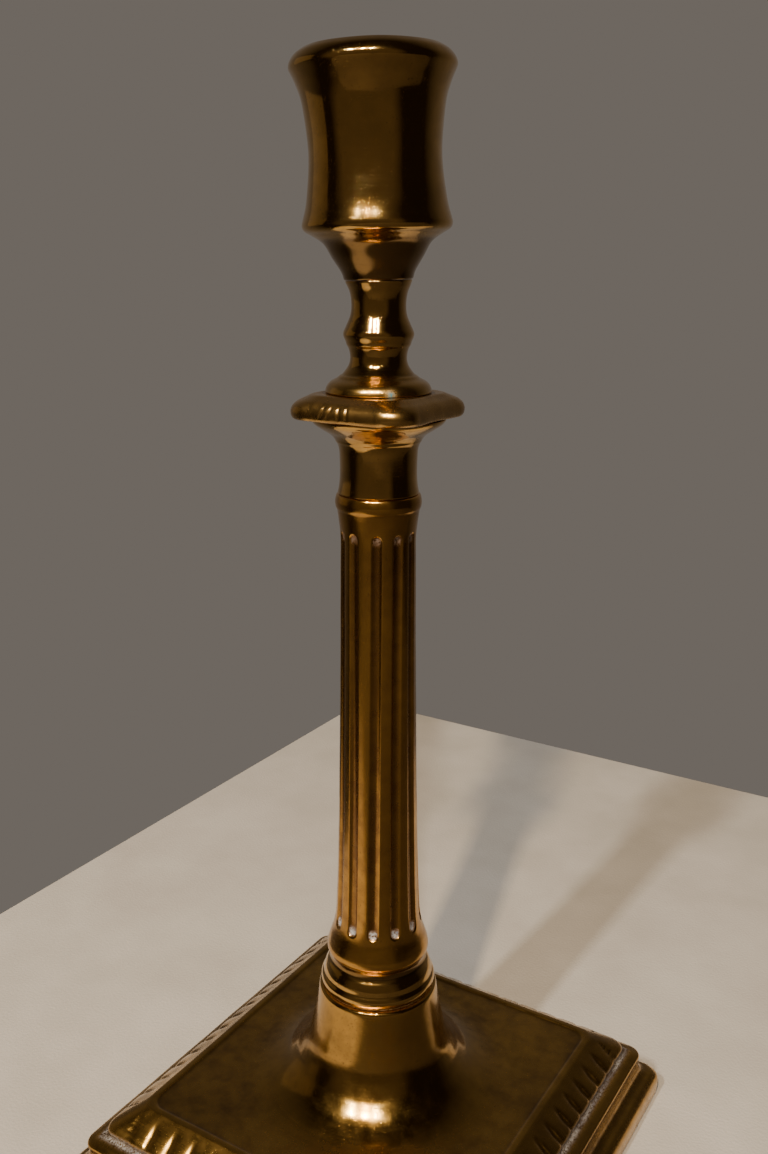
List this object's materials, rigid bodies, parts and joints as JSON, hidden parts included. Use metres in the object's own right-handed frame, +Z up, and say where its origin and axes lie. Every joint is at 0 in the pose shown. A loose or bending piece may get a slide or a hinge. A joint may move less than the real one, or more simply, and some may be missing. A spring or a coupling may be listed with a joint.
{
  "type": "candlestick",
  "caption": "Brass candlestick: turned candle socket and knop over a square drip pan, fluted column, bell and square gadrooned foot, stacked on an iron tie rod.",
  "frame": {"origin": "centre of the square face that the foot rests on", "axes": "+Z up along the column; the square foot's sides run along X and Y"},
  "size_m": [0.113, 0.113, 0.2596],
  "materials": {
    "brass_polished": "polished, aged",
    "brass_satin": "satin, aged",
    "brass_fluted": "aged, with pale polish residue in the ends of the flutes",
    "brass_foot": "dull, mottled patina",
    "iron": "dark, lightly rusted",
    "screw_steel": "dull steel"
  },
  "bodies": {
    "root": {"candle_socket": "brass_polished", "socket_screw": "screw_steel", "knop_neck": "brass_polished", "drip_pan": "brass_satin", "capital": "brass_polished", "column_shaft": "brass_fluted", "shaft_collar": "brass_polished", "foot": "brass_foot", "tie_rod": "iron", "foot_washer": "iron", "foot_nut": "iron"}
  },
  "joints": []
}
